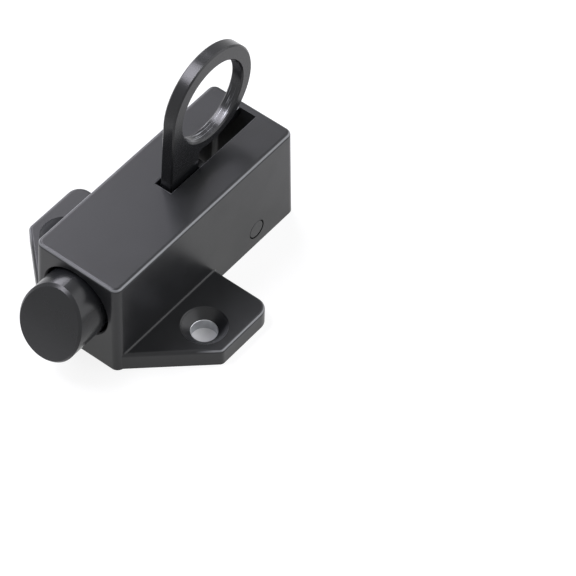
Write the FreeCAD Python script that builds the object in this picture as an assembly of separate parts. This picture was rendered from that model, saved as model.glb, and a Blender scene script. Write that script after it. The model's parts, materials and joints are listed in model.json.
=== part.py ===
import FreeCAD, Part
import math
import os

from FreeCAD import Vector

# Spring door bolt with a pull ring, in millimetres.
# Frame: the door face is z = 0 and +Z points away from the door.
# +X is the way the bolt shoots, and Y runs from one screw ear to the other.
# The origin is midway between the two screw holes, on the door face.
# Distances called "back" are measured rearwards from the top edge of the housing's front face.

# Housing body, whose outside follows from the bolt, its travel, the gaps round it and the walls
draft_deg = 1.2
front_corner_radius = 1.6
rear_corner_radius = 1.6
top_edge_radius = 0.8
side_wall = 1.8
top_wall = 2.0
rear_wall = 1.8
guide_length = 20.0
chamber_side_gap = 0.95
chamber_top_gap = 0.35
chamber_corner_radius = 1.2
relief_roof = 1.95
relief_wall = 2.4

# Screw ears
ear_thickness = 4.1
ear_end_margin = 6.7
ear_front_back = 13.7
ear_rear_back = 28.3
ear_root_inset = 0.4
ear_rear_radius = 2.9
ear_front_radius = 1.2
ear_edge_radius = 0.7
ear_root_radius = 0.45
screw_line_back = 16.3
screw_spacing = 35.4
screw_hole_diameter = 5.3
countersink_diameter = 9.4
countersink_depth = 1.75
countersink_edge = 0.25

# Bolt
bolt_diameter = 14.5
bolt_axis_height = 13.2
bore_clearance = 0.4
bore_edge = 0.3
bolt_tip_reach = 10.5
bevel_deg = 25.0
bevel_crown = 0.8
bevel_edge = 0.45
bolt_travel = 10.2
flats_gap = 1.5
top_flat_depth = 1.15
bridge_edge = 0.4

# Pivot pin
pin_diameter = 4.2
pin_back = 41.3
pin_height = 4.2
pin_clearance = 0.05
pin_end_chamfer = 0.25
pin_inset = 0.05

# Ring lever
lever_thickness = 2.8
lever_edge = 0.3
hub_radius = 3.5
hub_half_length = 2.5
arm_width = 3.2
lobe_forward = 7.75
lobe_height = 12.0
lobe_radius = 2.25
neck_width = 2.6
stem_front_back = 25.95
stem_width = 8.65
stem_corner_radius = 0.9
ring_back = 38.6
ring_corner_gap = 0.2
ring_outer_radius = 11.6
ring_wall = 2.8
ring_hole_drop = 0.6

# Slot in the top and the lever's running gaps
slot_side_gap = 0.6
slot_stop_gap = 0.25
slot_front_chamfer = 0.5
slot_edge_chamfer = 0.15
lever_side_gap = 0.35
lobe_rear_gap = 0.1
lobe_front_gap = 0.3
hub_gap = 0.4
stem_gap = 0.3

# Return spring
wire_diameter = 0.9
wire_sides = 8
coil_turns = 3
coil_pin_gap = 0.2
coil_hub_gap = 0.15
leg_gap = 0.2
loop_height = 7.5
loop_wall_gap = 0.1
loop_front_gap = 1.8
wire_bend_radius = 1.2

# How far a cutting tool reaches past the surface that it cuts
margin = 1.0

# How near to a face's place an edge lies that belongs to it, and how far it may lean from an axis
near = 0.05
lean_deg = 5.0

# Sizes and places worked out from the values above
bolt_radius = bolt_diameter / 2
bore_radius = bolt_radius + bore_clearance
body_width = 2 * (bolt_radius + chamber_side_gap + side_wall)
body_height = bolt_axis_height + bolt_radius + chamber_top_gap + top_wall
slope = math.tan(math.radians(draft_deg))

pin_radius = pin_diameter / 2
wire_radius = wire_diameter / 2
coil_radius = pin_radius + coil_pin_gap + wire_radius
half_lever = lever_thickness / 2
half_slot = half_lever + slot_side_gap
half_pocket = half_lever + lever_side_gap

front_x = screw_line_back
pin_x = front_x - pin_back
tail_end_x = pin_x + coil_radius + wire_radius + leg_gap
bridge_front_x = pin_x + lobe_forward - lobe_radius - lobe_rear_gap
pocket_front_x = pin_x + lobe_forward + lobe_radius + lobe_front_gap
chamber_front_x = front_x - guide_length
chamber_rear_x = tail_end_x - bolt_travel - loop_front_gap - wire_diameter - loop_wall_gap
rear_x = chamber_rear_x - rear_wall

top_flat_height = bolt_axis_height + bolt_radius - top_flat_depth
under_flat_height = pin_height + hub_radius + hub_gap
stem_foot_height = top_flat_height + stem_gap
stem_front_x = front_x - stem_front_back
stem_rear_x = stem_front_x - stem_width

# The lobe's centre seen from the pin: forward at rest, and leaning back once the bolt is in
lobe_reach = math.hypot(lobe_forward, lobe_height)
lobe_back = lobe_forward - bolt_travel
lobe_up = math.sqrt(lobe_reach ** 2 - lobe_back ** 2)
lever_swing = math.atan2(lobe_forward, lobe_height) - math.atan2(lobe_back, lobe_up)

# The ring swings just clear of the rounded top edge at the rear of the housing
edge_reach = math.hypot(pin_x - rear_x - top_edge_radius, body_height - pin_height - top_edge_radius)
ring_reach = edge_reach + top_edge_radius + ring_corner_gap + ring_outer_radius
ring_x = front_x - ring_back
ring_height = pin_height + math.sqrt(ring_reach ** 2 - (ring_x - pin_x) ** 2)
ring_hole_radius = ring_outer_radius - ring_wall
ring_hole_height = ring_height - ring_hole_drop


def half_width_at(height):
    """Half of the housing's outside width at a height: the sides lean in by the draft."""
    return body_width / 2 + (body_height - height) * slope


def box(x0, x1, y0, y1, z0, z1):
    return Part.makeBox(x1 - x0, y1 - y0, z1 - z0, Vector(x0, y0, z0))


def disc(x, z, radius, half_length):
    """A cylinder along Y, centred on y = 0."""
    return Part.makeCylinder(radius, 2 * half_length, Vector(x, -half_length, z), Vector(0, 1, 0))


def plate(points, half_length):
    """A prism along Y with a polygon of (x, z) points as its outline."""
    outline = [Vector(x, -half_length, z) for x, z in points]
    face = Part.Face(Part.makePolygon(outline + outline[:1]))
    return face.extrude(Vector(0, 2 * half_length, 0))


def edges_where(shape, wanted):
    """The edges for which wanted(edge, middle of the edge) is true."""
    chosen = []
    for edge in shape.Edges:
        middle = edge.valueAt((edge.FirstParameter + edge.LastParameter) / 2)
        if wanted(edge, middle):
            chosen.append(edge)
    return chosen


def round_edges(shape, radius, wanted):
    return shape.makeFillet(radius, edges_where(shape, wanted))


def bevel_edges(shape, size, wanted):
    return shape.makeChamfer(size, edges_where(shape, wanted))


def runs_along(edge, axis):
    """True for a straight edge that runs along an axis, within the draft."""
    if not isinstance(edge.Curve, Part.Line):
        return False
    return abs(edge.Curve.Direction.dot(axis)) > math.cos(math.radians(lean_deg))


def make_body_block():
    """The block with drafted sides, upright corners rounded, and a soft top edge."""
    lean = body_height * slope
    half = body_width / 2
    block = Part.makeWedge(rear_x - lean, 0, -half - lean, -half, rear_x,
                           front_x + lean, body_height, half + lean, half, front_x)
    block.rotate(Vector(0, 0, 0), Vector(1, 0, 0), 90)
    upright = Vector(0, 0, 1)
    block = round_edges(block, rear_corner_radius, lambda edge, middle:
                        runs_along(edge, upright) and middle.x < rear_x + rear_corner_radius)
    block = round_edges(block, front_corner_radius, lambda edge, middle:
                        runs_along(edge, upright) and middle.x > front_x - front_corner_radius)
    return round_edges(block, top_edge_radius, lambda edge, middle: middle.z > body_height - near)


def make_ears():
    """Both ears as one plate under the block: slanted at the front, square at the rear."""
    half_span = screw_spacing / 2 + ear_end_margin
    front = front_x - ear_front_back
    rear = front_x - ear_rear_back
    half_outline = [(front_x, body_width / 2 - ear_root_inset), (front, half_span), (rear, half_span)]
    other_half = [(x, -y) for x, y in reversed(half_outline)]
    points = [Vector(x, y, 0) for x, y in half_outline + other_half]
    ears = Part.Face(Part.makePolygon(points + points[:1])).extrude(Vector(0, 0, ear_thickness))
    upright = Vector(0, 0, 1)
    ears = round_edges(ears, ear_rear_radius, lambda edge, middle:
                       runs_along(edge, upright) and abs(middle.x - rear) < near)
    ears = round_edges(ears, ear_front_radius, lambda edge, middle:
                       runs_along(edge, upright) and abs(middle.x - front) < near)
    return round_edges(ears, ear_edge_radius, lambda edge, middle:
                       abs(middle.z - ear_thickness) < near and middle.x < front_x - near)


def make_screw_holes():
    """A straight hole and a countersink for a flat-head screw in each ear, with a broken edge."""
    cuts = []
    seat = ear_thickness - countersink_depth
    outer = countersink_diameter / 2
    for side in (-1, 1):
        centre = Vector(0, side * screw_spacing / 2, 0)
        cuts.append(Part.makeCylinder(screw_hole_diameter / 2, ear_thickness, centre))
        cuts.append(Part.makeCone(screw_hole_diameter / 2, outer, countersink_depth,
                                  centre + Vector(0, 0, seat)))
        cuts.append(Part.makeCone(outer - countersink_edge, outer + countersink_edge, 2 * countersink_edge,
                                  centre + Vector(0, 0, ear_thickness - countersink_edge)))
    return cuts


def make_slot_cuts():
    """The lever's slot through the top, as long as the ring is wide: the ring passes up through it."""
    stop_x = stem_front_x + slot_stop_gap
    over = body_height + margin
    slot = box(chamber_rear_x, stop_x, -half_slot, half_slot, body_height - top_wall - margin, over)
    front_edge = plate([(stop_x, body_height - slot_front_chamfer),
                        (stop_x + slot_front_chamfer + margin, over), (stop_x, over)], half_slot)
    cuts = [slot, front_edge]
    for side in (-1, 1):
        outline = [Vector(chamber_rear_x, side * half_slot, body_height - slot_edge_chamfer),
                   Vector(chamber_rear_x, side * (half_slot + slot_edge_chamfer + margin), over),
                   Vector(chamber_rear_x, side * half_slot, over)]
        face = Part.Face(Part.makePolygon(outline + outline[:1]))
        cuts.append(face.extrude(Vector(stop_x + slot_front_chamfer - chamber_rear_x, 0, 0)))
    return cuts


def make_housing():
    """One die casting: block, ears, bolt guide, rear chamber open to the door, slot, pin holes."""
    shape = make_body_block().fuse(make_ears()).removeSplitter()
    along = Vector(1, 0, 0)
    shape = round_edges(shape, ear_root_radius, lambda edge, middle:
                        runs_along(edge, along) and abs(middle.z - ear_thickness) < near
                        and abs(abs(middle.y) - half_width_at(ear_thickness)) < near)
    half_chamber = body_width / 2 - side_wall
    chamber = box(chamber_rear_x, chamber_front_x, -half_chamber, half_chamber,
                  -margin, body_height - top_wall)
    chamber = round_edges(chamber, chamber_corner_radius, lambda edge, middle:
                          runs_along(edge, Vector(0, 0, 1)))
    half_relief = body_width / 2 - relief_wall
    relief = box(chamber_front_x + relief_wall, front_x - relief_wall, -half_relief, half_relief,
                 -margin, bolt_axis_height - bore_radius - relief_roof)
    bore = Part.makeCylinder(bore_radius, guide_length + 2 * margin,
                             Vector(chamber_front_x - margin, 0, bolt_axis_height), along)
    pin_holes = disc(pin_x, pin_height, pin_radius + pin_clearance, half_width_at(0) + margin)
    shape = shape.cut([chamber, relief, bore, pin_holes] + make_slot_cuts() + make_screw_holes())

    def is_bore_mouth(edge, middle):
        off_axis = math.hypot(middle.y, middle.z - bolt_axis_height)
        return middle.x > front_x - near and abs(off_axis - bore_radius) < near

    return bevel_edges(shape, bore_edge, is_bore_mouth)


def bridge_bottom_height():
    """The lowest that the bridge may reach at rest and still clear the arm that passes under it."""
    arm_rear = lobe_back + lobe_radius - arm_width
    across = (bridge_front_x - pin_x) * math.cos(lever_swing)
    return pin_height + (across - arm_rear + stem_gap) / math.sin(lever_swing)


def make_bolt():
    """Round bolt with a slanted nose, and a flatted tail with the lever's pocket and a bridge behind it."""
    tip_x = front_x + bolt_tip_reach
    low = bolt_axis_height - bolt_radius
    high = bolt_axis_height + bolt_radius
    bar = Part.makeCylinder(bolt_radius, tip_x + margin - tail_end_x,
                            Vector(tail_end_x, 0, bolt_axis_height), Vector(1, 0, 0))
    lean = math.tan(math.radians(bevel_deg))
    foot = Vector(tip_x + lean * margin, 0, low - margin)
    head = Vector(tip_x - lean * (bolt_diameter + margin), 0, high + margin)
    crown = (foot + head) / 2 + Vector(math.cos(math.radians(bevel_deg)), 0,
                                       math.sin(math.radians(bevel_deg))) * bevel_crown
    far = tip_x + 2 * margin
    outline = [Part.Arc(foot, crown, head).toShape(),
               Part.makePolygon([head, Vector(far, 0, head.z), Vector(far, 0, foot.z), foot])]
    nose = Part.Face(Part.Wire(outline)).extrude(Vector(0, 2 * bolt_diameter, 0))
    nose.translate(Vector(0, -bolt_diameter, 0))
    bar = bevel_edges(bar.cut(nose), bevel_edge, lambda edge, middle: middle.x > front_x)

    rear = tail_end_x - margin
    flats_x = chamber_front_x - flats_gap
    top_flat = box(rear, flats_x, -bolt_radius, bolt_radius, top_flat_height, high + margin)
    under_flat = box(rear, flats_x, -bolt_radius, bolt_radius, low - margin, under_flat_height)
    pocket = box(bridge_front_x, pocket_front_x, -half_pocket, half_pocket, low - margin, high + margin)
    arm_way = box(rear, bridge_front_x + margin, -half_pocket, half_pocket,
                  low - margin, bridge_bottom_height())
    edge = plate([(bridge_front_x - bridge_edge, top_flat_height),
                  (bridge_front_x + margin, top_flat_height - bridge_edge - margin),
                  (bridge_front_x + margin, top_flat_height)], half_pocket)
    return bar.cut([top_flat, under_flat, pocket, arm_way, edge])


def swung_forward(x, z):
    """A point beside the pin, given for the pulled lever, turned to where it lies at rest."""
    c, s = math.cos(lever_swing), math.sin(lever_swing)
    return pin_x + x * c + z * s, pin_height - x * s + z * c


def make_ring_lever():
    """Flat lever with a finger ring, a stem in the slot, a round lobe in the bolt and a hub on the pin."""
    arm_front = lobe_back + lobe_radius
    arm_rear = arm_front - arm_width
    arm = plate([swung_forward(arm_rear, 0), swung_forward(arm_front, 0),
                 swung_forward(arm_front, lobe_up), swung_forward(lobe_back, lobe_up),
                 swung_forward(arm_rear, lobe_up - lobe_radius)], half_lever)

    lobe_x = pin_x + lobe_forward
    lobe_z = pin_height + lobe_height
    lobe = disc(lobe_x, lobe_z, lobe_radius, half_lever)
    neck_front = lobe_x + lobe_radius
    neck_top = stem_foot_height + margin
    neck = plate([(neck_front - neck_width, lobe_z), (neck_front, lobe_z),
                  (neck_front, neck_top), (neck_front - neck_width, neck_top)], half_lever)

    foot = (stem_front_x, stem_foot_height)
    gap = math.dist(foot, (ring_x, ring_height))
    turn = math.acos(ring_outer_radius / gap) + math.atan2(foot[1] - ring_height, foot[0] - ring_x)
    touch = (ring_x + ring_outer_radius * math.cos(turn), ring_height + ring_outer_radius * math.sin(turn))
    stem = plate([(stem_rear_x, stem_foot_height), foot, touch, (ring_x, ring_height),
                  (stem_rear_x, ring_height - ring_hole_radius / 2)], half_lever)

    lever = disc(pin_x, pin_height, hub_radius, half_lever)
    for piece in (arm, lobe, neck, stem, disc(ring_x, ring_height, ring_outer_radius, half_lever)):
        lever = lever.fuse(piece)
    lever = lever.cut(disc(ring_x, ring_hole_height, ring_hole_radius, half_lever + margin)).removeSplitter()

    across = Vector(0, 1, 0)
    lever = round_edges(lever, stem_corner_radius, lambda edge, middle:
                        runs_along(edge, across) and abs(middle.x - stem_rear_x) < near
                        and middle.z > body_height)
    lever = bevel_edges(lever, lever_edge, lambda edge, middle:
                        abs(abs(middle.y) - half_lever) < near and middle.z > stem_foot_height + near)
    lever = lever.fuse(disc(pin_x, pin_height, hub_radius, hub_half_length))
    hub_hole = disc(pin_x, pin_height, pin_radius + pin_clearance, hub_half_length + margin)
    return lever.cut(hub_hole).removeSplitter()


def make_pivot_pin():
    """Plain pin across the housing, its ends flush with the sides and slightly chamfered."""
    half = half_width_at(pin_height) - pin_inset
    pin = disc(pin_x, pin_height, pin_radius, half)
    return bevel_edges(pin, pin_end_chamfer, lambda edge, middle:
                       isinstance(edge.Curve, Part.Circle))


def wire_section(centre, along, across):
    """Outline of the wire, with flats as far apart as the wire is thick."""
    step = 2 * math.pi / wire_sides
    reach = wire_radius / math.cos(step / 2)
    aside = along.cross(across)
    corners = []
    for side in range(wire_sides):
        turn = (side + 0.5) * step
        corners.append(centre + across * (reach * math.cos(turn)) + aside * (reach * math.sin(turn)))
    return Part.makePolygon(corners + corners[:1])


def bent_wire(points, bend_radius):
    """Wire along straight runs joined by tangent arcs, one at each inner point."""
    edges = []
    start = points[0]
    for here, after in zip(points[1:-1], points[2:]):
        into = (here - start).normalize()
        out = (after - here).normalize()
        half_turn = into.getAngle(out) / 2
        cut_back = bend_radius * math.tan(half_turn)
        first = here - into * cut_back
        last = here + out * cut_back
        inward = (out - into).normalize()
        middle = here + inward * (bend_radius / math.cos(half_turn) - bend_radius)
        edges.append(Part.makeLine(start, first))
        edges.append(Part.Arc(first, middle, last).toShape())
        start = last
    edges.append(Part.makeLine(start, points[-1]))
    along = (points[1] - points[0]).normalize()
    return Part.Wire(edges).makePipeShell([wire_section(points[0], along, Vector(0, 1, 0))], True, True)


def make_half_spring():
    """One closely wound coil on the pin, its leg behind the bolt's cheek, and its half of the loop.
    The turns are rings that touch side by side, as in a coil wound tight."""
    across = Vector(0, 1, 0)
    inner_y = hub_half_length + coil_hub_gap + wire_radius
    low = pin_height - coil_radius
    half = None
    for turn in range(coil_turns):
        y = inner_y + turn * wire_diameter
        outline = Part.Face(wire_section(Vector(pin_x, y, low), Vector(1, 0, 0), across))
        ring = outline.revolve(Vector(pin_x, y, pin_height), across, 360)
        half = half.fuse(ring) if half else ring
    outer_y = inner_y + (coil_turns - 1) * wire_diameter
    leg_foot = Vector(pin_x + coil_radius, outer_y, pin_height)
    leg = Part.Face(wire_section(leg_foot, Vector(0, 0, 1), across))
    leg = leg.extrude(Vector(0, 0, bolt_axis_height - pin_height))

    high = pin_height + loop_height
    back_x = chamber_rear_x + loop_wall_gap + wire_radius
    loop = bent_wire([Vector(pin_x, inner_y, low), Vector(back_x, inner_y, low),
                      Vector(back_x, inner_y, high), Vector(back_x, 0, high)], wire_bend_radius)
    return half.fuse(leg).fuse(loop)


def make_return_spring():
    """Double torsion spring of one wire: a coil on the pin each side of the hub, a leg behind each
    cheek of the bolt, and a loop between the coils that bears on the rear wall."""
    half = make_half_spring()
    return half.fuse(half.mirror(Vector(0, 0, 0), Vector(0, 1, 0))).removeSplitter()


def main():
    os.makedirs("parts", exist_ok=True)
    pieces = {
        "housing": make_housing(),
        "bolt": make_bolt(),
        "ring_lever": make_ring_lever(),
        "pivot_pin": make_pivot_pin(),
        "return_spring": make_return_spring(),
    }
    for name, shape in pieces.items():
        solid = shape.Solids[0]
        print(f"{name}: {len(shape.Solids)} solid, valid {solid.isValid()}, {solid.Volume / 1000:.3f} cm3")
        solid.exportStep(f"parts/{name}.step")
    print(f"housing {front_x - rear_x:.2f} long, {body_width:.2f} wide, {body_height:.2f} high")
    print(f"lever swing {math.degrees(lever_swing):.3f} degrees for {bolt_travel} mm of bolt travel")


main()
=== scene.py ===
import json
import math

import bmesh
import bpy
from mathutils import Matrix, Vector


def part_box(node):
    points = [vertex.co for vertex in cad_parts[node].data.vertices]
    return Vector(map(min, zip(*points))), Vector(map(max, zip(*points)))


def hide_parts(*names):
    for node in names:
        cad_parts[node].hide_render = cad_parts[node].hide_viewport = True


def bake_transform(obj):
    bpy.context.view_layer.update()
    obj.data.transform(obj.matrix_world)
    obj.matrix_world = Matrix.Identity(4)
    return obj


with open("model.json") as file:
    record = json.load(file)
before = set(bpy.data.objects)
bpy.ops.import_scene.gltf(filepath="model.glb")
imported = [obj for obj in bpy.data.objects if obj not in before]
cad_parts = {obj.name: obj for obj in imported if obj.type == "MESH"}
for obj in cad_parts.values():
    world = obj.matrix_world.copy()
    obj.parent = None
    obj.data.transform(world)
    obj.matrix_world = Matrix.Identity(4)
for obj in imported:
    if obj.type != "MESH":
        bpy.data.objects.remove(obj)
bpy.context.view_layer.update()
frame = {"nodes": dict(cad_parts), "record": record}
print("frame loaded:", ", ".join(sorted(frame["nodes"])))

# The latch lies with its door face down on a white table. +X is the way the bolt shoots, +Y runs to the
# near screw ear and +Z points away from the door. Lengths are in metres, written as a number times mm.
mm = 0.001


def linear(hexColour):
    # sRGB hex to linear RGBA
    channels = [int(hexColour[i:i + 2], 16) / 255 for i in (1, 3, 5)]
    return [c / 12.92 if c <= 0.04045 else ((c + 0.055) / 1.055) ** 2.4 for c in channels] + [1.0]


def addNode(tree, kind, output, settings=None, inputs=None):
    # adds one node, sets its own values, fills or links its inputs, and gives back one output or the node
    node = tree.nodes.new(kind)
    for name, value in (settings or {}).items():
        setattr(node, name, value)
    for name, value in (inputs or {}).items():
        if isinstance(value, bpy.types.NodeSocket):
            tree.links.new(value, node.inputs[name])
        else:
            node.inputs[name].default_value = value
    return node if output is None else node.outputs[output]


def newTree(owner):
    owner.use_nodes = True
    owner.node_tree.nodes.clear()
    return owner.node_tree


def putOn(nodeName, material):
    slots = frame["nodes"][nodeName].data.materials
    slots.clear()
    slots.append(material)


# Black electrophoretic paint on a zinc die casting: a thin even film, satin, so that the eye gets
# soft wide reflections and the faint skin of the casting under the film.
coating = {
    "film": "#161719",
    "thinFilm": "#1e1f21",       # where the film is thin and the grey casting greys it
    # bright zinc, bare in the drilled holes and the lever's worn streaks, laid on the block's edges as
    # painted highlight
    "bareZincAndHighlight": "#c4c6c9",
    "ior": 1.4,                  # the matted film mirrors a little less than a clear one, which has 1.5
    "gloss": (0.30, 0.38),       # roughness over the clouds
    "bareRoughness": 0.30,
    "cloudSize": 7.0 * mm,       # slow changes in the film over a face
    "cloudDetail": 3.0,
    "cloudSpan": (0.3, 0.7),     # the clouds' values that take the first and the last gloss
    "skinSize": 0.45 * mm,       # grain of the casting's skin, drawn about twice as coarse as it is
    "skinDetail": 2.0,
    "skinDepth": 0.004 * mm,
}

# The bolt and the lever are tumbled before painting, so they are smoother than the block.
smallCastings = {**coating, "gloss": (0.21, 0.27)}


def blackPaint(name, bareAndHighlightWhere=None, settings=coating):
    # the mask function gives 0 to 1 from (tree, coordinates), with 1 where bare zinc shows; on the block's
    # edges this zinc is a painted highlight
    material = bpy.data.materials.new(name)
    tree = newTree(material)
    coordinates = addNode(tree, "ShaderNodeTexCoord", "Object")
    clouds = addNode(tree, "ShaderNodeTexNoise", "Fac", None,
                     {"Vector": coordinates, "Scale": 1 / settings["cloudSize"],
                      "Detail": settings["cloudDetail"]})
    skin = addNode(tree, "ShaderNodeTexNoise", "Fac", None,
                   {"Vector": coordinates, "Scale": 1 / settings["skinSize"],
                    "Detail": settings["skinDetail"]})
    normal = addNode(tree, "ShaderNodeBump", "Normal", None,
                     {"Height": skin, "Distance": settings["skinDepth"]})
    colour = addNode(tree, "ShaderNodeMix", 2, {"data_type": "RGBA"},
                     {0: clouds, 6: linear(settings["film"]), 7: linear(settings["thinFilm"])})
    roughness = addNode(tree, "ShaderNodeMapRange", "Result", None,
                        {"Value": clouds, "From Min": settings["cloudSpan"][0],
                         "From Max": settings["cloudSpan"][1], "To Min": settings["gloss"][0],
                         "To Max": settings["gloss"][1]})
    inputs = {"IOR": settings["ior"], "Normal": normal}
    if bareAndHighlightWhere:
        bareAndHighlight = bareAndHighlightWhere(tree, coordinates)
        colour = addNode(tree, "ShaderNodeMix", 2, {"data_type": "RGBA"},
                         {0: bareAndHighlight, 6: colour, 7: linear(settings["bareZincAndHighlight"])})
        roughness = addNode(tree, "ShaderNodeMix", 0, {"data_type": "FLOAT"},
                            {0: bareAndHighlight, 2: roughness, 3: settings["bareRoughness"]})
        inputs["Metallic"] = bareAndHighlight
    inputs.update({"Base Color": colour, "Roughness": roughness})
    surface = addNode(tree, "ShaderNodeBsdfPrincipled", "BSDF", None, inputs)
    addNode(tree, "ShaderNodeOutputMaterial", None, None, {"Surface": surface})
    return material


# Two plain holes through the ears, drilled after painting, so the eye gets bright metal walls.
holeSize = next(mount["dims"] for mount in frame["record"]["mounts"] if mount["name"] == "screw_holes")
screwHole = {
    "fromMiddle": holeSize["spacing_y_mm"] / 2 * mm,
    "radius": holeSize["hole_r_mm"] * mm,
    "margin": 0.06 * mm,         # takes in the whole wall
}

# On the edges of the top and of the ears' ends the film has drawn thin, and a share of bright zinc is laid
# there as a painted highlight, in the part of each rounding where the highlights fall.
thinFilmEdgeHighlight = {
    "lean": 0.64,                # upright part of the surface's normal where the painted highlight is brightest
    "full": 0.13,                # how near to that lean the painted highlight is full, and how far from it none is left
    "none": 0.27,
    "paintedHighlight": 0.34,               # share of bare zinc laid there as painted highlight
    "above": 15 * mm,            # height from which the block's edges count
    "beyond": (20.5 * mm, 23 * mm),    # distances from the middle between which the ears' edges fade in
}


def insideScrewHole(tree, coordinates):
    # 1 where the distance from the nearer hole's axis is less than the radius and the margin
    mirrored = addNode(tree, "ShaderNodeVectorMath", "Vector", {"operation": "ABSOLUTE"}, {0: coordinates})
    moved = addNode(tree, "ShaderNodeVectorMath", "Vector", {"operation": "SUBTRACT"},
                    {0: mirrored, 1: (0, screwHole["fromMiddle"], 0)})
    flat = addNode(tree, "ShaderNodeVectorMath", "Vector", {"operation": "MULTIPLY"},
                   {0: moved, 1: (1, 1, 0)})
    distance = addNode(tree, "ShaderNodeVectorMath", "Value", {"operation": "LENGTH"}, {0: flat})
    return addNode(tree, "ShaderNodeMath", "Value", {"operation": "LESS_THAN"},
                   {0: distance, 1: screwHole["radius"] + screwHole["margin"]})


def paintedEdgeHighlight(tree, coordinates):
    # painted highlight, largest where the surface leans halfway between level and upright, on the outer
    # edges alone
    settings = thinFilmEdgeHighlight
    normal = addNode(tree, "ShaderNodeSeparateXYZ", None, None,
                     {0: addNode(tree, "ShaderNodeTexCoord", "Normal")})
    away = addNode(tree, "ShaderNodeMath", "Value", {"operation": "SUBTRACT"},
                   {0: normal.outputs["Z"], 1: settings["lean"]})
    off = addNode(tree, "ShaderNodeMath", "Value", {"operation": "ABSOLUTE"}, {0: away})
    paintedHighlight = addNode(tree, "ShaderNodeMapRange", "Result", {"interpolation_type": "SMOOTHSTEP"},
                    {"Value": off, "From Min": settings["full"], "From Max": settings["none"],
                     "To Min": settings["paintedHighlight"], "To Max": 0.0})
    mirrored = addNode(tree, "ShaderNodeVectorMath", "Vector", {"operation": "ABSOLUTE"}, {0: coordinates})
    place = addNode(tree, "ShaderNodeSeparateXYZ", None, None, {0: mirrored})
    high = addNode(tree, "ShaderNodeMath", "Value", {"operation": "GREATER_THAN"},
                   {0: place.outputs["Z"], 1: settings["above"]})
    far = addNode(tree, "ShaderNodeMapRange", "Result", None,
                  {"Value": place.outputs["Y"], "From Min": settings["beyond"][0],
                   "From Max": settings["beyond"][1]})
    outer = addNode(tree, "ShaderNodeMath", "Value", {"operation": "MAXIMUM"}, {0: high, 1: far})
    return addNode(tree, "ShaderNodeMath", "Value", {"operation": "MULTIPLY"}, {0: paintedHighlight, 1: outer})


def bareHolesAndEdgeHighlight(tree, coordinates):
    # the larger of the two: all of a hole's wall as bare zinc, a share of an edge as painted highlight
    return addNode(tree, "ShaderNodeMath", "Value", {"operation": "MAXIMUM"},
                   {0: insideScrewHole(tree, coordinates), 1: paintedEdgeHighlight(tree, coordinates)})


# The finger hole's wall, where the paint is worn off the flash line in thin streaks round the hole.
leverLow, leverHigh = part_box("ring_lever")
ring = {"outerRadius": 11.6 * mm, "holeRadius": 8.8 * mm, "holeDrop": 0.6 * mm}
fingerHole = {
    "middle": (leverLow[0] + ring["outerRadius"], 0, leverHigh[2] - ring["outerRadius"] - ring["holeDrop"]),
    "radius": ring["holeRadius"],
    "margin": 0.05 * mm,         # takes in the whole wall
    "streakLength": 4.5 * mm,
    "streakWidth": 0.2 * mm,
    "streakDetail": 3.0,
    "wornFrom": -2.5 * mm,       # heights from the hole's middle where the wear starts and is full
    "wornFull": -7.5 * mm,
    "threshold": (0.56, 0.68),   # the noise's values at which bare metal starts and is most
    "most": 0.6,                 # share of bare metal there
}


def wornStreaks(tree, coordinates):
    # noise over (length round the hole, place across the wall), kept on the wall and near its foot
    settings = fingerHole
    reach = settings["radius"] + settings["margin"]
    centred = addNode(tree, "ShaderNodeVectorMath", "Vector", {"operation": "SUBTRACT"},
                      {0: coordinates, 1: settings["middle"]})
    flat = addNode(tree, "ShaderNodeVectorMath", "Vector", {"operation": "MULTIPLY"},
                   {0: centred, 1: (1, 0, 1)})
    distance = addNode(tree, "ShaderNodeVectorMath", "Value", {"operation": "LENGTH"}, {0: flat})
    onWall = addNode(tree, "ShaderNodeMath", "Value", {"operation": "LESS_THAN"},
                     {0: distance, 1: reach})
    split = addNode(tree, "ShaderNodeSeparateXYZ", None, None, {0: centred})
    angle = addNode(tree, "ShaderNodeMath", "Value", {"operation": "ARCTAN2"},
                    {0: split.outputs["Z"], 1: split.outputs["X"]})
    along = addNode(tree, "ShaderNodeMath", "Value", {"operation": "MULTIPLY"},
                    {0: angle, 1: reach / settings["streakLength"]})
    across = addNode(tree, "ShaderNodeMath", "Value", {"operation": "DIVIDE"},
                     {0: split.outputs["Y"], 1: settings["streakWidth"]})
    place = addNode(tree, "ShaderNodeCombineXYZ", "Vector", None, {"X": along, "Y": across})
    noise = addNode(tree, "ShaderNodeTexNoise", "Fac", None,
                    {"Vector": place, "Scale": 1.0, "Detail": settings["streakDetail"]})
    streaks = addNode(tree, "ShaderNodeMapRange", "Result", None,
                      {"Value": noise, "From Min": settings["threshold"][0],
                       "From Max": settings["threshold"][1], "To Max": settings["most"]})
    nearFoot = addNode(tree, "ShaderNodeMapRange", "Result", None,
                       {"Value": split.outputs["Z"], "From Min": settings["wornFrom"],
                        "From Max": settings["wornFull"]})
    worn = addNode(tree, "ShaderNodeMath", "Value", {"operation": "MULTIPLY"}, {0: streaks, 1: nearFoot})
    return addNode(tree, "ShaderNodeMath", "Value", {"operation": "MULTIPLY"}, {0: onWall, 1: worn})


# Hard-drawn spring steel in a dark grey, a painted shade so that its legs seen through the slot stay dark:
# the eye gets a dark metal with fine drawing marks.
wire = {"colour": "#6a6b6e", "gloss": (0.28, 0.42), "markSize": 0.3 * mm, "markDetail": 2.0}


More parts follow.
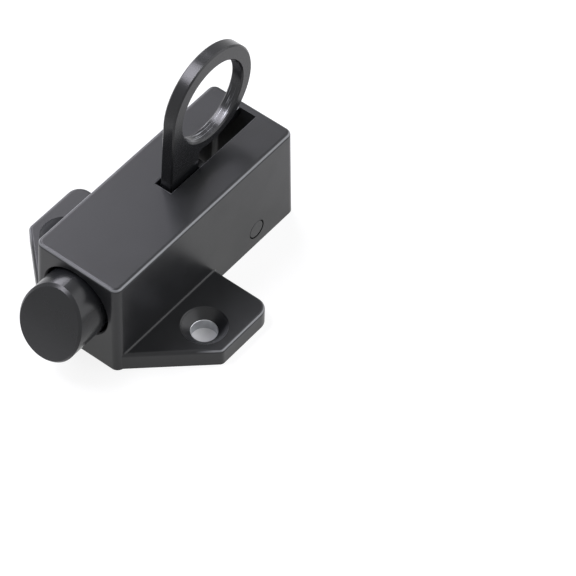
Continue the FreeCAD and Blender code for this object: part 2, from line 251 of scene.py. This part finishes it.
def springSteel(name, settings=wire):
    material = bpy.data.materials.new(name)
    tree = newTree(material)
    coordinates = addNode(tree, "ShaderNodeTexCoord", "Object")
    marks = addNode(tree, "ShaderNodeTexNoise", "Fac", None,
                    {"Vector": coordinates, "Scale": 1 / settings["markSize"],
                     "Detail": settings["markDetail"]})
    roughness = addNode(tree, "ShaderNodeMapRange", "Result", None,
                        {"Value": marks, "To Min": settings["gloss"][0], "To Max": settings["gloss"][1]})
    surface = addNode(tree, "ShaderNodeBsdfPrincipled", "BSDF", None,
                      {"Base Color": linear(settings["colour"]), "Metallic": 1.0, "Roughness": roughness})
    addNode(tree, "ShaderNodeOutputMaterial", None, None, {"Surface": surface})
    return material


putOn("housing", blackPaint("paintedZincHousing", bareHolesAndEdgeHighlight))
putOn("bolt", blackPaint("paintedZincBolt", None, smallCastings))
putOn("ring_lever", blackPaint("paintedZincLever", wornStreaks, smallCastings))
putOn("pivot_pin", blackPaint("paintedSteelPin"))
print("finishes done")

# The spring's two legs stand behind the bolt's cheeks and go back with them as the bolt is drawn in. They
# bend just above the coils, and the coils and the loop at the rear wall stay.
legs = {
    "cutsFrom": 6.6 * mm,        # heights between which the legs are divided, so that they can bend
    "cutsTo": 8.4 * mm,
    "cuts": 19,
    "bendStart": (-22.60 * mm, 0, 6.75 * mm),    # on the legs, just above the coils
    "bendEnd": (-22.25 * mm, 0, 7.35 * mm),      # below the bolt's cheeks
    "sharpest": 50.0,            # degrees between faces, past which an edge stays sharp
    "weld": 0.0005 * mm,         # corners nearer than this are one
    "onCut": 0.00001 * mm,       # and a corner nearer than this to a cut lies on it
}


def springWithLegs(settings, material):
    # a copy of the spring's mesh, cut across at even heights between the coils and the bolt's cheeks
    mesh = frame["nodes"]["return_spring"].data.copy()
    work = bmesh.new()
    work.from_mesh(mesh)
    bmesh.ops.remove_doubles(work, verts=work.verts, dist=settings["weld"])
    for k in range(settings["cuts"]):
        share = k / (settings["cuts"] - 1)
        height = settings["cutsFrom"] + share * (settings["cutsTo"] - settings["cutsFrom"])
        bmesh.ops.bisect_plane(work, geom=work.verts[:] + work.edges[:] + work.faces[:],
                               dist=settings["onCut"], plane_co=(0, 0, height), plane_no=(0, 0, 1))
    bmesh.ops.triangulate(work, faces=work.faces)
    work.to_mesh(mesh)
    work.free()
    mesh.polygons.foreach_set("use_smooth", [True] * len(mesh.polygons))
    mesh.set_sharp_from_angle(angle=math.radians(settings["sharpest"]))
    mesh.materials.clear()
    mesh.materials.append(material)
    spring = bpy.data.objects.new("spring_with_legs", mesh)
    bpy.context.scene.collection.objects.link(spring)
    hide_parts("return_spring")
    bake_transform(spring)


springWithLegs(legs, springSteel("drawnSpringSteel"))
print("spring done")

# The photograph's own view: place and axes of the camera, solved from the latch's corners.
camera = {
    "place": (0.3121, 0.2715, 0.50298),
    "right": (-0.62215, 0.78256, 0.02304),
    "up": (-0.59464, -0.49149, 0.63627),
    "back": (0.50924, 0.38215, 0.77112),
    "lens": 210.28,              # millimetres, as the sensor's width is
    "sensor": 36,
    "clip": (0.01, 20),
}


def placeCamera(settings):
    data = bpy.data.cameras.new("photoCamera")
    data.sensor_width = settings["sensor"]
    data.lens = settings["lens"]
    data.clip_start, data.clip_end = settings["clip"]
    photoCamera = bpy.data.objects.new("photoCamera", data)
    bpy.context.scene.collection.objects.link(photoCamera)
    columns = Matrix([settings[name] for name in ("right", "up", "back")]).transposed()
    photoCamera.matrix_world = Matrix.Translation(settings["place"]) @ columns.to_4x4()
    bpy.context.scene.camera = photoCamera


placeCamera(camera)
bpy.context.scene.view_settings.view_transform = "Standard"
print("camera placed")

# A matte white table. Seen straight or mirrored it is lifted to plain white, with a soft shadow left.
# Under the screw holes it keeps its own shade.
table = {
    "half": 0.45,                # half its width, and how far it goes on behind the latch
    "front": 0.08,               # how far it goes on in front
    "height": -0.02 * mm,        # a hair under the door face
    "white": "#f7f7f7",
    "share": 0.25,               # how much of its own shade is left where it is lifted
    "lift": 0.86,                # the even white that is added there
}


def showsBackground(tree):
    # 1 for a ray that sees the background straight, mirrored or through something clear
    path = addNode(tree, "ShaderNodeLightPath", None)
    mirrored = addNode(tree, "ShaderNodeMath", "Value", {"operation": "MAXIMUM"},
                       {0: path.outputs["Is Glossy Ray"], 1: path.outputs["Is Transmission Ray"]})
    return addNode(tree, "ShaderNodeMath", "Value", {"operation": "MAXIMUM"},
                   {0: path.outputs["Is Camera Ray"], 1: mirrored})


def whiteTable(settings):
    half, front, height = settings["half"], settings["front"], settings["height"]
    mesh = bpy.data.meshes.new("table")
    corners = [(-half, -half, height), (front, -half, height), (front, half, height), (-half, half, height)]
    mesh.from_pydata(corners, [], [(0, 1, 2, 3)])
    top = bpy.data.objects.new("table", mesh)
    bpy.context.scene.collection.objects.link(top)
    material = bpy.data.materials.new("matteWhiteTable")
    tree = newTree(material)
    matte = addNode(tree, "ShaderNodeBsdfDiffuse", "BSDF", None, {"Color": linear(settings["white"])})
    lift = addNode(tree, "ShaderNodeEmission", "Emission", None,
                   {"Color": linear("#ffffff"), "Strength": settings["lift"] / (1 - settings["share"])})
    lifted = addNode(tree, "ShaderNodeMixShader", "Shader", None, {0: settings["share"], 1: lift, 2: matte})
    hole = insideScrewHole(tree, addNode(tree, "ShaderNodeTexCoord", "Object"))
    seen = addNode(tree, "ShaderNodeMath", "Value", {"operation": "GREATER_THAN"},
                   {0: showsBackground(tree), 1: hole})
    surface = addNode(tree, "ShaderNodeMixShader", "Shader", None, {0: seen, 1: matte, 2: lifted})
    addNode(tree, "ShaderNodeOutputMaterial", None, None, {"Surface": surface})
    mesh.materials.append(material)


# The room: almost dark as a light, and white where it is seen or mirrored past the table.
room = {"light": 0.12, "seen": 1.0}


def dimRoom(settings):
    world = bpy.data.worlds.new("room")
    tree = newTree(world)
    strength = addNode(tree, "ShaderNodeMapRange", "Result", None,
                       {"Value": showsBackground(tree), "To Min": settings["light"],
                        "To Max": settings["seen"]})
    background = addNode(tree, "ShaderNodeBackground", "Background", None,
                         {"Color": linear("#ffffff"), "Strength": strength})
    addNode(tree, "ShaderNodeOutputWorld", None, None, {"Surface": background})
    bpy.context.scene.world = world


# Three softboxes, all aimed at the latch: a bright one behind on the far side, a tall wide one behind on
# the near side, and a strip high over the far side, which the round rims and the front edge mirror.
softboxes = {
    "farRear": {"place": (-0.37, -0.72, 0.59), "size": (0.52, 0.52), "radiance": 7.7, "colour": "#f6f4ff"},
    "nearRear": {"place": (-0.55, 0.58, 0.60), "size": (1.50, 1.10), "radiance": 1.5, "colour": "#fbfbff"},
    "rimStrip": {"place": (0.18, -0.45, 0.87), "size": (0.60, 0.32), "radiance": 14.0, "colour": "#f6f4ff"},
}


def softbox(name, settings):
    # an area lamp whose face is as bright as its radiance, with the energy worked out from its size
    data = bpy.data.lights.new(name, "AREA")
    data.shape = "RECTANGLE"
    data.size, data.size_y = settings["size"]
    data.energy = math.pi * data.size * data.size_y * settings["radiance"]
    data.color = linear(settings["colour"])[:3]
    lamp = bpy.data.objects.new(name, data)
    bpy.context.scene.collection.objects.link(lamp)
    place = Vector(settings["place"])
    turn = (-place).to_track_quat("-Z", "Y")
    lamp.matrix_world = Matrix.Translation(place) @ turn.to_matrix().to_4x4()


whiteTable(table)
dimRoom(room)
for name, settings in softboxes.items():
    softbox(name, settings)
print("table and light done")
